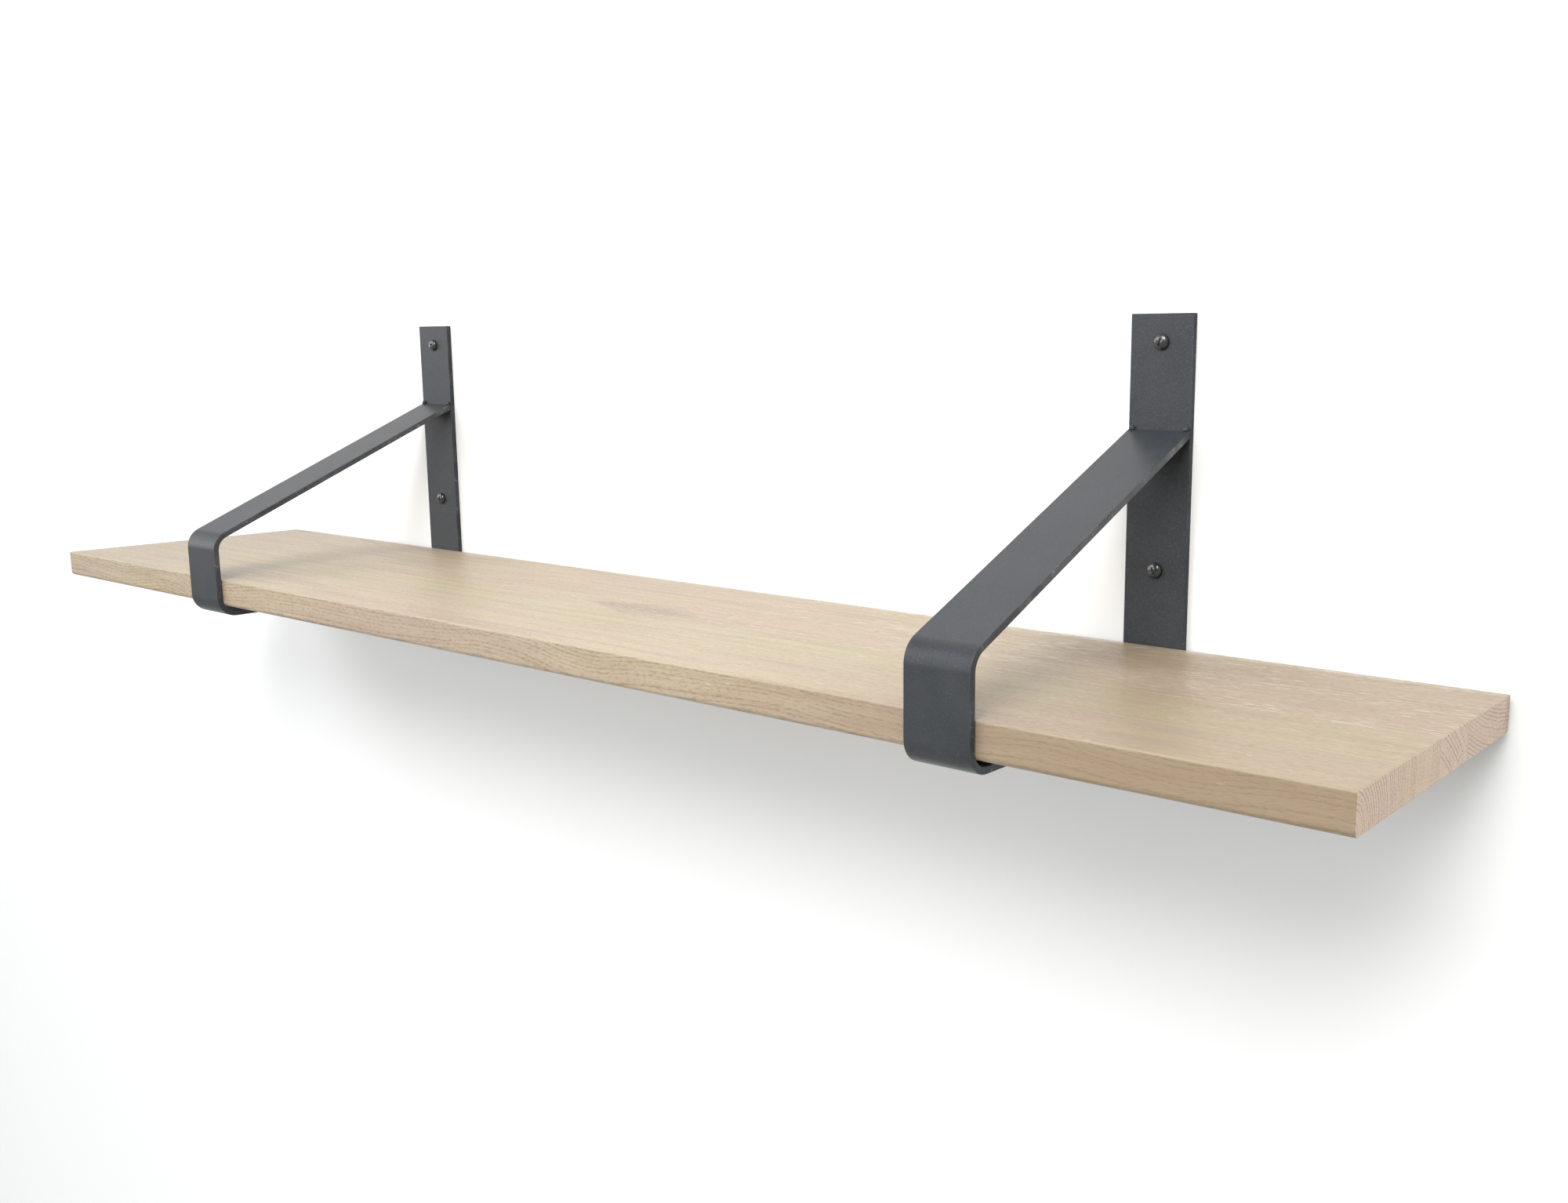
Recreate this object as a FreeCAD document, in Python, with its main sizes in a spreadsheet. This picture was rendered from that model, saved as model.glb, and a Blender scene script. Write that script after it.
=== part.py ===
"""Wall shelf: an edge-glued oak board carried in two loops of bent strip steel.

Frame, in millimetres: the origin is the centre of the four wall screws, in the
plane of the wall. +X runs to the right along the board, +Y into the wall, +Z up.
"""

import FreeCAD, Part
import math
import operator
import os
from types import SimpleNamespace

import Sketcher
from FreeCAD import Placement, Rotation, Vector

# ---------------------------------------------------------------- dimensions

DIMENSIONS = {
    # flat steel strip that each bracket is bent from
    "strip_width": 40,
    "strip_thickness": 4,
    "strip_edge_round": 0.4,
    # bracket
    "bracket_spacing": 700,
    "plate_above_screw": 16,
    "wall_screw_pitch": 132,
    "lower_bend_outer": 14,
    "upper_bend_outer": 15,
    "diagonal_angle": 23.85,
    "diagonal_joint_height": 16,
    "root_gap": 0.3,
    "wall_hole_diameter": 5.5,
    "board_hole_diameter": 4.5,
    "board_hole_back": 50,
    "board_hole_front": 185,
    # board
    "board_length": 1145,
    "board_thickness": 20,
    "board_drop": 111,
    "board_left_overhang": 221,
    "board_edge_gap": 0.5,
    "board_under_gap": 4.45,
    "board_lower_round": 3,
    "board_upper_round": 0.8,
    "board_end_round": 0.5,
    "front_stave_width": 50,
    "second_stave_width": 52,
    "third_stave_width": 40,
    "back_stave_width": 68,
    "pilot_diameter": 4.1,
    "pilot_depth": 13,
    # welds
    "root_weld_leg": 3.5,
    "root_weld_crown": 3.2,
    "root_weld_length": 37,
    "tack_leg": 2.2,
    "tack_crown": 2.2,
    "tack_length": 3.4,
    "tack_inset": 1,
    # wall screws
    "wall_screw_head_diameter": 9.4,
    "wall_screw_head_height": 3.4,
    "wall_screw_head_rim": 0.9,
    "wall_screw_neck_diameter": 3.6,
    "wall_screw_neck_length": 4,
    "wall_screw_diameter": 5,
    "wall_screw_length": 50,
    "wall_screw_tip": 6,
    "wall_screw_thread_start": 5,
    "wall_screw_thread_pitch": 2.2,
    "wall_screw_thread_depth": 0.75,
    "wall_screw_thread_turns": 17,
    "wall_screw_recess_span": 5,
    "wall_screw_recess_slot": 1.1,
    "wall_screw_recess_depth": 1.9,
    # board screws
    "board_screw_head_diameter": 8,
    "board_screw_head_height": 2.7,
    "board_screw_head_rim": 0.7,
    "board_screw_neck_diameter": 2.8,
    "board_screw_neck_length": 4,
    "board_screw_diameter": 4,
    "board_screw_length": 20,
    "board_screw_tip": 4,
    "board_screw_thread_start": 5,
    "board_screw_thread_pitch": 1.8,
    "board_screw_thread_depth": 0.6,
    "board_screw_thread_turns": 6,
    "board_screw_recess_span": 4.2,
    "board_screw_recess_slot": 0.9,
    "board_screw_recess_depth": 1.5,
}

# share of a thread's pitch that its groove is open at the outside
GROOVE_SHARE = 0.8

# names for Sketcher's own geometry and point numbers
ORIGIN_POINT = (-1, 1)
HORIZONTAL_AXIS = -1
VERTICAL_AXIS = -2
START = 1
END = 2
CENTRE = 3

# turns about X that send a body's own +Z, a screw head, into the room or down
TOWARDS_ROOM = 90
HEAD_DOWN = 180

TOLERANCE = 1e-6

doc = FreeCAD.newDocument("wall_shelf")
sheet = doc.addObject("Spreadsheet::Sheet", "Dimensions")
for row, (alias, cell_value) in enumerate(DIMENSIONS.items(), start=1):
    sheet.set(f"A{row}", alias)
    sheet.set(f"B{row}", str(cell_value))
    sheet.setAlias(f"B{row}", alias)
doc.recompute()


class Size:
    """A size worked out from the sheet: its number now, and the expression to bind."""

    def __init__(self, number, text):
        self.number = float(number)
        self.text = text

    def __add__(self, other):
        return combine(self, "+", other)

    def __radd__(self, other):
        return combine(other, "+", self)

    def __sub__(self, other):
        return combine(self, "-", other)

    def __rsub__(self, other):
        return combine(other, "-", self)

    def __mul__(self, other):
        return combine(self, "*", other)

    def __rmul__(self, other):
        return combine(other, "*", self)

    def __truediv__(self, other):
        return combine(self, "/", other)

    def __neg__(self):
        return combine(0, "-", self)


OPERATORS = {
    "+": operator.add,
    "-": operator.sub,
    "*": operator.mul,
    "/": operator.truediv,
}


def as_size(value):
    """A plain number as a Size, and a Size as it is."""
    return value if isinstance(value, Size) else Size(value, str(value))


def combine(left, sign, right):
    """The Size of left sign right."""
    left, right = as_size(left), as_size(right)
    number = OPERATORS[sign](left.number, right.number)
    return Size(number, f"({left.text} {sign} {right.text})")


# every driving dimension as a Size, and the sizes that follow from them
D = SimpleNamespace(
    **{alias: Size(sheet.get(alias), f"Dimensions.{alias}") for alias in DIMENSIONS}
)
SLOPE = math.radians(D.diagonal_angle.number)
SLOPE_TEXT = f"{D.diagonal_angle.text} * 1 deg"
SLOPE_TAN = Size(math.tan(SLOPE), f"tan({SLOPE_TEXT})")
SLOPE_COS = Size(math.cos(SLOPE), f"cos({SLOPE_TEXT})")

STAVES = {
    "front_stave": D.front_stave_width,
    "second_stave": D.second_stave_width,
    "third_stave": D.third_stave_width,
    "back_stave": D.back_stave_width,
}
BOARD_DEPTH = sum(STAVES.values())
BOARD_BACK = D.strip_thickness + D.board_edge_gap
BOARD_FRONT = BOARD_BACK + BOARD_DEPTH
BRACKET_DEPTH = BOARD_FRONT + D.board_edge_gap + D.strip_thickness
STRAP_DROP = D.board_drop + D.board_thickness + D.board_under_gap + D.strip_thickness
BOARD_CENTRE = (
    D.board_length - D.bracket_spacing - D.strip_width
) / 2 - D.board_left_overhang

# ---------------------------------------------------------------- shared tools


def new_body(label):
    """An empty body whose label is its node name."""
    body = doc.addObject("PartDesign::Body", label)
    body.Label = label
    return body


def origin_item(body, role):
    """One of the body's own origin planes or axes."""
    return next(item for item in body.Origin.OriginFeatures if item.Role == role)


def new_sketch(body, name, role, height=0):
    """A sketch on one of the body's own origin planes, or raised above it."""
    sketch = body.newObject("Sketcher::SketchObject", name)
    sketch.AttachmentSupport = [(origin_item(body, role), "")]
    sketch.MapMode = "FlatFace"
    sketch.setExpression("AttachmentOffset.Base.z", as_size(height).text)
    return sketch


def point(across, up):
    """A sketch point from two sizes or numbers."""
    return Vector(as_size(across).number, as_size(up).number)


def line(sketch, start, end):
    """A straight line between two points."""
    return sketch.addGeometry(Part.LineSegment(start, end))


def arc(sketch, centre, radius, start_turn, end_turn):
    """A circular arc, anticlockwise from start to end, in radians."""
    whole = Part.Circle(centre, Vector(0, 0, 1), radius)
    return sketch.addGeometry(Part.ArcOfCircle(whole, start_turn, end_turn))


def join(sketch, first, second, smooth=False):
    """Joins two curve ends, each (curve, end), with or without a tangent."""
    kind = "Tangent" if smooth else "Coincident"
    sketch.addConstraint(Sketcher.Constraint(kind, *first, *second))


def chain(sketch, points):
    """A closed chain of lines through the points, with its corners joined."""
    ends = points[1:] + points[:1]
    lines = [line(sketch, start, end) for start, end in zip(points, ends)]
    for first, second in zip(lines, lines[1:] + lines[:1]):
        join(sketch, (first, END), (second, START))
    return lines


def straighten(sketch, level=(), upright=()):
    """Holds some lines along sketch X and others along sketch Y."""
    for index in level:
        sketch.addConstraint(Sketcher.Constraint("Horizontal", index))
    for index in upright:
        sketch.addConstraint(Sketcher.Constraint("Vertical", index))


def on_axis(sketch, curve, end, axis):
    """Holds a point of a curve on one of the sketch's axes."""
    sketch.addConstraint(Sketcher.Constraint("PointOnObject", curve, end, axis))


def dimension(sketch, name, kind, where, size):
    """A named dimension constraint that follows the sheet."""
    index = sketch.addConstraint(Sketcher.Constraint(kind, *where, size.number))
    sketch.renameConstraint(index, name)
    sketch.setExpression(f"Constraints.{name}", size.text)


def spot(sketch, name, curve, end, across=None, up=None):
    """Holds a point of a curve at these signed distances from the sketch's origin.

    A distance of 0 puts the point on that axis, and None leaves it free.
    """
    for letter, axis, distance in (
        ("X", VERTICAL_AXIS, across),
        ("Y", HORIZONTAL_AXIS, up),
    ):
        if distance is None:
            continue
        if as_size(distance).number == 0:
            on_axis(sketch, curve, end, axis)
            continue
        where = (*ORIGIN_POINT, curve, end)
        if distance.number < 0:
            where = (curve, end, *ORIGIN_POINT)
            distance = -distance
        dimension(sketch, f"{name}_{letter}", f"Distance{letter}", where, distance)


def circle(sketch, name, diameter, across, up):
    """A circle, with its centre placed as spot() says."""
    whole = Part.Circle(point(across, up), Vector(0, 0, 1), diameter.number / 2)
    index = sketch.addGeometry(whole)
    dimension(sketch, f"{name}_size", "Diameter", (index,), diameter)
    spot(sketch, name, index, CENTRE, across, up)


def extrude(body, kind, name, sketch, length):
    """A Pad or Pocket, half its length to each side of the sketch."""
    made = body.newObject(f"PartDesign::{kind}", name)
    made.Profile = sketch
    made.SideType = "Symmetric"
    made.setExpression("Length", length.text)
    return made


def revolve(body, kind, name, sketch):
    """A Revolution or Groove, a full turn about the sketch's own upright axis."""
    made = body.newObject(f"PartDesign::{kind}", name)
    made.Profile = sketch
    made.ReferenceAxis = (sketch, ["V_Axis"])
    made.Angle = 360
    return made


def volume(body):
    """The body's volume, brought up to date."""
    doc.recompute()
    return body.Shape.Volume


def check_cut(body, before, name):
    """Stops if the latest cut took nothing away."""
    if volume(body) >= before - TOLERANCE:
        raise RuntimeError(f"{body.Label}: {name} removed nothing")


def round_edges(body, name, radius, wanted):
    """A fillet on each edge of the body for which wanted(edge) is true."""
    doc.recompute()
    tip = body.Tip
    chosen = []
    for index, edge in enumerate(tip.Shape.Edges, start=1):
        if wanted(edge):
            chosen.append(f"Edge{index}")
    fillet = body.newObject("PartDesign::Fillet", name)
    fillet.Base = (tip, chosen)
    fillet.setExpression("Radius", radius.text)


def all_ends(edge, test):
    """True if test holds for both ends of an edge."""
    return all(test(vertex.Point) for vertex in edge.Vertexes)


def near(number, target):
    """True if two lengths are the same."""
    return abs(number - target) < TOLERANCE


def place(body, across, along, up, turn=0):
    """Puts the body at sizes for X, Y and Z, turned about X by whole degrees."""
    body.Placement = Placement(Vector(), Rotation(Vector(1, 0, 0), turn))
    for letter, size in (("x", across), ("y", along), ("z", up)):
        body.setExpression(f"Placement.Base.{letter}", as_size(size).text)


# ---------------------------------------------------------------- bracket strap


def draw_strip(sketch):
    """The bent strip from the side: sketch X is the body's Y, and sketch Y its Z.

    It runs from the top of the wall plate down the wall, under the board, up the
    front lip and back up the diagonal to the plate's front.
    """
    thick = D.strip_thickness.number
    lower = D.lower_bend_outer.number
    upper = D.upper_bend_outer.number
    top = (D.wall_screw_pitch / 2 + D.plate_above_screw).number
    bottom = -STRAP_DROP.number
    depth = BRACKET_DEPTH.number
    joint = D.diagonal_joint_height.number
    cut = -(D.strip_thickness + D.root_gap).number
    under_joint = joint - thick / math.cos(SLOPE)
    upright = math.pi / 2 + SLOPE
    corner = joint - (cut + depth) * math.tan(SLOPE)
    rear = Vector(-lower, bottom + lower)
    front = Vector(lower - depth, bottom + lower)
    crest = Vector(upper - depth, corner - upper * math.tan(math.pi / 4 - SLOPE / 2))
    away = Vector(math.cos(upright), math.sin(upright))

    plate_back = line(sketch, Vector(0, top), Vector(0, rear.y))
    rear_outer = arc(sketch, rear, lower, 1.5 * math.pi, 2 * math.pi)
    strap_under = line(sketch, Vector(rear.x, bottom), Vector(front.x, bottom))
    front_outer = arc(sketch, front, lower, math.pi, 1.5 * math.pi)
    lip_outer = line(sketch, Vector(-depth, front.y), Vector(-depth, crest.y))
    crest_outer = arc(sketch, crest, upper, upright, math.pi)
    diagonal_top = line(sketch, crest + away * upper, Vector(cut, joint))
    diagonal_end = line(sketch, Vector(cut, joint), Vector(cut, under_joint))
    inner_touch = crest + away * (upper - thick)
    diagonal_under = line(sketch, Vector(cut, under_joint), inner_touch)
    crest_inner = arc(sketch, crest, upper - thick, upright, math.pi)
    lip_inner = line(sketch, Vector(thick - depth, crest.y), Vector(thick - depth, front.y))
    front_inner = arc(sketch, front, lower - thick, math.pi, 1.5 * math.pi)
    level = bottom + thick
    strap_upper = line(sketch, Vector(front.x, level), Vector(rear.x, level))
    rear_inner = arc(sketch, rear, lower - thick, 1.5 * math.pi, 2 * math.pi)
    plate_front = line(sketch, Vector(-thick, rear.y), Vector(-thick, top))
    plate_end = line(sketch, Vector(-thick, top), Vector(0, top))

    for first, second in (
        ((plate_back, END), (rear_outer, END)),
        ((rear_outer, START), (strap_under, START)),
        ((strap_under, END), (front_outer, END)),
        ((front_outer, START), (lip_outer, START)),
        ((lip_outer, END), (crest_outer, END)),
        ((crest_outer, START), (diagonal_top, START)),
        ((diagonal_under, END), (crest_inner, START)),
        ((crest_inner, END), (lip_inner, START)),
        ((lip_inner, END), (front_inner, START)),
        ((front_inner, END), (strap_upper, START)),
        ((strap_upper, END), (rear_inner, START)),
        ((rear_inner, END), (plate_front, START)),
    ):
        join(sketch, first, second, smooth=True)
    for first, second in (
        ((diagonal_top, END), (diagonal_end, START)),
        ((diagonal_end, END), (diagonal_under, START)),
        ((plate_front, END), (plate_end, START)),
        ((plate_end, END), (plate_back, START)),
        ((rear_outer, CENTRE), (rear_inner, CENTRE)),
        ((front_outer, CENTRE), (front_inner, CENTRE)),
        ((crest_outer, CENTRE), (crest_inner, CENTRE)),
    ):
        join(sketch, first, second)
    straighten(
        sketch,
        level=(strap_under, plate_end),
        upright=(plate_back, lip_outer, diagonal_end, plate_front),
    )
    sketch.addConstraint(Sketcher.Constraint("Parallel", diagonal_top, diagonal_under))

    for name, curve, radius in (
        ("rear_outer", rear_outer, D.lower_bend_outer),
        ("front_outer", front_outer, D.lower_bend_outer),
        ("crest_outer", crest_outer, D.upper_bend_outer),
        ("rear_inner", rear_inner, D.lower_bend_outer - D.strip_thickness),
        ("front_inner", front_inner, D.lower_bend_outer - D.strip_thickness),
        ("crest_inner", crest_inner, D.upper_bend_outer - D.strip_thickness),
    ):
        dimension(sketch, name, "Radius", (curve,), radius)
    plate_top = D.wall_screw_pitch / 2 + D.plate_above_screw
    joint_gap = -(D.strip_thickness + D.root_gap)
    spot(sketch, "plate_top", plate_back, START, 0, plate_top)
    spot(sketch, "strap", strap_under, START, up=-STRAP_DROP)
    spot(sketch, "lip", lip_outer, START, across=-BRACKET_DEPTH)
    spot(sketch, "joint", diagonal_top, END, joint_gap, D.diagonal_joint_height)
    slope = Size(SLOPE, SLOPE_TEXT)
    dimension(sketch, "slope", "Angle", (diagonal_top,), slope)


def make_strap(label, across):
    """One bracket: a strip bent round the board and back up to its own plate."""
    body = new_body(label)
    side_view = new_sketch(body, "side_view", "YZ_Plane")
    draw_strip(side_view)
    extrude(body, "Pad", "strip", side_view, D.strip_width)
    half_width = D.strip_width.number / 2
    round_edges(
        body,
        "soft_edges",
        D.strip_edge_round,
        lambda edge: all_ends(edge, lambda end: near(abs(end.x), half_width)),
    )

    before = volume(body)
    plan = new_sketch(body, "wall_holes_plan", "XZ_Plane")
    half_pitch = D.wall_screw_pitch / 2
    circle(plan, "upper", D.wall_hole_diameter, 0, half_pitch)
    circle(plan, "lower", D.wall_hole_diameter, 0, -half_pitch)
    extrude(body, "Pocket", "wall_holes", plan, D.strip_thickness * 3)
    check_cut(body, before, "wall_holes")

    before = volume(body)
    plan = new_sketch(body, "board_holes_plan", "XY_Plane", -STRAP_DROP)
    circle(plan, "back", D.board_hole_diameter, 0, -D.board_hole_back)
    circle(plan, "front", D.board_hole_diameter, 0, -D.board_hole_front)
    extrude(body, "Pocket", "board_holes", plan, D.strip_thickness * 3)
    check_cut(body, before, "board_holes")
    place(body, across, 0, 0)
    return body


# ---------------------------------------------------------------- welds


def make_weld(label, across, joint_height, plate_side, leg, crown, length):
    """A convex bead in the corner between the plate's front and the diagonal.

    plate_side is 1 where its leg on the plate runs up and -1 where it runs down,
    and joint_height is where the diagonal's face would meet the plate.
    """
    body = new_body(label)
    section = new_sketch(body, "bead_section", "YZ_Plane")
    on_plate = Vector(0, plate_side * leg.number)
    on_diagonal = Vector(-math.cos(SLOPE), -math.sin(SLOPE)) * leg.number
    middle = (on_plate + on_diagonal) * 0.5
    half_chord = (on_plate - on_diagonal).Length / 2
    set_back = math.sqrt(crown.number**2 - half_chord**2)
    centre = middle * (1 - set_back / middle.Length)
    turns = []
    for end in (on_plate, on_diagonal)[::plate_side]:
        turns.append(math.atan2(end.y - centre.y, end.x - centre.x))

    plate_leg = line(section, Vector(), on_plate)
    diagonal_leg = line(section, on_diagonal, Vector())
    face = arc(section, centre, crown.number, *turns)
    plate_end, diagonal_end = (START, END)[::plate_side]
    join(section, (plate_leg, START), ORIGIN_POINT)
    join(section, (diagonal_leg, END), ORIGIN_POINT)
    join(section, (plate_leg, END), (face, plate_end))
    join(section, (diagonal_leg, START), (face, diagonal_end))
    straighten(section, upright=(plate_leg,))
    dimension(section, "plate_leg", "Distance", (plate_leg,), leg)
    dimension(section, "diagonal_leg", "Distance", (diagonal_leg,), leg)
    dimension(section, "crown", "Radius", (face,), crown)
    dimension(section, "slope", "Angle", (diagonal_leg,), Size(SLOPE, SLOPE_TEXT))
    extrude(body, "Pad", "bead", section, length)
    place(body, across, -D.strip_thickness, joint_height)
    return body


def make_welds(side, across):
    """The bead under one diagonal, and the blobs at the joint's two top corners."""
    over = D.diagonal_joint_height + D.root_gap * SLOPE_TAN
    under = over - D.strip_thickness / SLOPE_COS
    to_tack = D.strip_width / 2 - D.tack_inset - D.tack_length / 2
    root = (D.root_weld_leg, D.root_weld_crown, D.root_weld_length)
    tack = (D.tack_leg, D.tack_crown, D.tack_length)
    return [
        make_weld(f"{side}_bracket_root_weld", across, under, -1, *root),
        make_weld(f"{side}_bracket_left_tack", across - to_tack, over, 1, *tack),
        make_weld(f"{side}_bracket_right_tack", across + to_tack, over, 1, *tack),
    ]


# ---------------------------------------------------------------- board


def make_stave(label, width, ahead):
    """One full-length oak stave, with staves ahead of it that are that deep.

    The body's origin is the middle of the stave's length, on its front face and
    its underside. Only a face that isn't glued to a neighbour has rounded edges.
    """
    body = new_body(label)
    section = new_sketch(body, "section", "YZ_Plane")
    tall = D.board_thickness
    corners = [point(0, 0), point(width, 0), point(width, tall), point(0, tall)]
    under, back, top, front = chain(section, corners)
    straighten(section, level=(under, top), upright=(back, front))
    join(section, (under, START), ORIGIN_POINT)
    dimension(section, "width", "Distance", (under,), width)
    dimension(section, "thickness", "Distance", (back,), tall)
    extrude(body, "Pad", "plank", section, D.board_length)

    names = list(STAVES)
    free_faces = {names[0]: 0, names[-1]: width.number}
    free_face = free_faces.get(label)
    for name, radius, level in (
        ("lower_round", D.board_lower_round, 0),
        ("upper_round", D.board_upper_round, tall.number),
    ):
        if free_face is None:
            continue
        round_edges(
            body,
            name,
            radius,
            lambda edge: all_ends(
                edge, lambda end: near(end.y, free_face) and near(end.z, level)
            ),
        )
    half_length = D.board_length.number / 2
    glued_faces = {0, width.number} - {free_face}

    def on_end(edge):
        middle = edge.CenterOfMass
        glued = any(near(middle.y, face) for face in glued_faces)
        return not glued and all_ends(edge, lambda end: near(abs(end.x), half_length))

    round_edges(body, "end_round", D.board_end_round, on_end)
    place(body, BOARD_CENTRE, ahead - BOARD_FRONT, -(D.board_drop + tall))
    return body


def drill_pilots(body, ahead, hole):
    """Blind holes for the board screws, up from a stave's underside."""
    before = volume(body)
    plan = new_sketch(body, "pilot_plan", "XY_Plane")
    depth = BOARD_FRONT - hole - ahead
    half = D.bracket_spacing / 2
    circle(plan, "left", D.pilot_diameter, -half - BOARD_CENTRE, depth)
    circle(plan, "right", D.pilot_diameter, half - BOARD_CENTRE, depth)
    doc.recompute()
    drilled = body.newObject("PartDesign::Hole", "pilot_holes")
    drilled.Profile = plan
    drilled.DepthType = "Dimension"
    drilled.DrillPoint = "Angled"
    drilled.Reversed = True
    drilled.setExpression("Diameter", D.pilot_diameter.text)
    drilled.setExpression("Depth", D.pilot_depth.text)
    check_cut(body, before, "pilot_holes")


# ---------------------------------------------------------------- screws


def cut_groove(body, screw):
    """A V groove round the shank, just below the thread's start."""
    before = volume(body)
    section = new_sketch(body, "thread_section", "XZ_Plane")
    radius = screw.diameter / 2
    root_radius = radius - screw.thread_depth
    start = screw.thread_start
    width = screw.thread_pitch * GROOVE_SHARE
    root = start + width / 2
    corners = [
        point(radius, -start),
        point(radius, -(start + width)),
        point(root_radius, -root),
    ]
    mouth, lower, upper = chain(section, corners)
    straighten(section, upright=(mouth,))
    spot(section, "lip", mouth, START, radius, -start)
    dimension(section, "mouth", "Distance", (mouth,), width)
    spot(section, "root", upper, START, root_radius, -root)
    groove = revolve(body, "Groove", "thread", section)
    check_cut(body, before, "thread")
    return groove


def repeat_down(body, original, name, pitch, count):
    """Copies of a cut, one pitch apart, down the body's Z axis."""
    before = volume(body)
    copies = body.newObject("PartDesign::LinearPattern", name)
    copies.Originals = [original]
    copies.Direction = (origin_item(body, "Z_Axis"), [""])
    copies.Reversed = True
    copies.Mode = "Extent"
    copies.setExpression("Length", (pitch * (count - 1)).text)
    copies.setExpression("Occurrences", count.text)
    body.Tip = copies
    check_cut(body, before, name)


def cut_recess(body, screw):
    """The cross recess: two slots that cross at the middle of the head."""
    before = volume(body)
    plan = new_sketch(body, "recess_plan", "XY_Plane", screw.head_height)
    half_span = screw.recess_span / 2
    half_slot = screw.recess_slot / 2
    corners = [
        point(-half_slot, half_span),
        point(-half_slot, -half_span),
        point(half_slot, -half_span),
        point(half_slot, half_span),
    ]
    left, foot, right, head = chain(plan, corners)
    straighten(plan, level=(foot, head), upright=(left, right))
    spot(plan, "top_left", left, START, -half_slot, half_span)
    dimension(plan, "span", "Distance", (left,), screw.recess_span)
    dimension(plan, "slot", "Distance", (foot,), screw.recess_slot)
    slot = extrude(body, "Pocket", "recess", plan, screw.recess_depth * 2)
    check_cut(body, before, "recess")

    before = volume(body)
    crossed = body.newObject("PartDesign::PolarPattern", "recess_crossed")
    crossed.Originals = [slot]
    crossed.Axis = (origin_item(body, "Z_Axis"), [""])
    crossed.Mode = "Extent"
    crossed.Angle = 90
    crossed.Occurrences = 2
    body.Tip = crossed
    check_cut(body, before, "recess_crossed")


def sizes_of(prefix):
    """The driving dimensions whose aliases start with a prefix, without it."""
    found = {}
    for alias in DIMENSIONS:
        if alias.startswith(prefix):
            found[alias.removeprefix(prefix)] = getattr(D, alias)
    return SimpleNamespace(**found)


def draw_screw(outline, screw):
    """Half of a screw's side view: sketch X is the radius, and its Y the axis."""
    head = screw.head_diameter / 2
    neck = screw.neck_diameter / 2
    shank = screw.diameter / 2
    shoulder = screw.tip - screw.length
    rise = screw.head_height.number - screw.head_rim.number
    dome_radius = (rise**2 + head.number**2) / (2 * rise)
    dome_centre = Vector(0, screw.head_height.number - dome_radius)
    dome_edge = math.atan2(screw.head_rim.number - dome_centre.y, head.number)

    tip = line(outline, point(0, -screw.length), point(shank, shoulder))
    stem = line(outline, point(shank, shoulder), point(shank, -screw.neck_length))
    step = line(outline, point(shank, -screw.neck_length), point(neck, -screw.neck_length))
    bare = line(outline, point(neck, -screw.neck_length), point(neck, 0))
    seat = line(outline, point(neck, 0), point(head, 0))
    rim = line(outline, point(head, 0), point(head, screw.head_rim))
    dome = arc(outline, dome_centre, dome_radius, dome_edge, math.pi / 2)
    core = line(outline, point(0, screw.head_height), point(0, -screw.length))
    turned = [tip, stem, step, bare, seat, rim, dome, core]
    for first, second in zip(turned, turned[1:] + turned[:1]):
        join(outline, (first, END), (second, START))
    straighten(outline, level=(step, seat), upright=(stem, bare, rim))
    on_axis(outline, dome, CENTRE, VERTICAL_AXIS)
    on_axis(outline, seat, START, HORIZONTAL_AXIS)
    spot(outline, "point", tip, START, 0, -screw.length)
    spot(outline, "shoulder", tip, END, shank, shoulder)
    spot(outline, "neck", bare, START, neck, -screw.neck_length)
    spot(outline, "rim", rim, END, head, screw.head_rim)
    spot(outline, "crown", dome, END, 0, screw.head_height)


def make_screw(label, screw, across, along, up, turn):
    """A pan-head screw, with the underside of its head at the body's origin.

    Its neck is thinner than its thread, and as long as the strip is thick.
    """
    body = new_body(label)
    outline = new_sketch(body, "outline", "XZ_Plane")
    draw_screw(outline, screw)
    revolve(body, "Revolution", "turned", outline)
    thread = cut_groove(body, screw)
    repeat_down(body, thread, "thread_turns", screw.thread_pitch, screw.thread_turns)
    cut_recess(body, screw)
    place(body, across, along, up, turn)
    return body


# ---------------------------------------------------------------- the assembly

half_spacing = D.bracket_spacing / 2
half_pitch = D.wall_screw_pitch / 2
pieces = []
for side, across in (("left", -half_spacing), ("right", half_spacing)):
    pieces.append(make_strap(f"{side}_bracket_strap", across))
    pieces.extend(make_welds(side, across))
    for level, up in (("upper", half_pitch), ("lower", -half_pitch)):
        wall_screw = make_screw(
            f"{side}_{level}_wall_screw",
            sizes_of("wall_screw_"),
            across,
            -D.strip_thickness,
            up,
            TOWARDS_ROOM,
        )
        pieces.append(wall_screw)
    for row_name, hole in (("front", D.board_hole_front), ("back", D.board_hole_back)):
        board_screw = make_screw(
            f"{side}_{row_name}_board_screw",
            sizes_of("board_screw_"),
            across,
            -hole,
            -STRAP_DROP,
            HEAD_DOWN,
        )
        pieces.append(board_screw)

ahead = as_size(0)
pilot_rows = {"front_stave": D.board_hole_front, "back_stave": D.board_hole_back}
for stave, width in STAVES.items():
    body = make_stave(stave, width, ahead)
    if stave in pilot_rows:
        drill_pilots(body, ahead, pilot_rows[stave])
    pieces.append(body)
    ahead = ahead + width

# ---------------------------------------------------------------- checks and files

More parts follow.
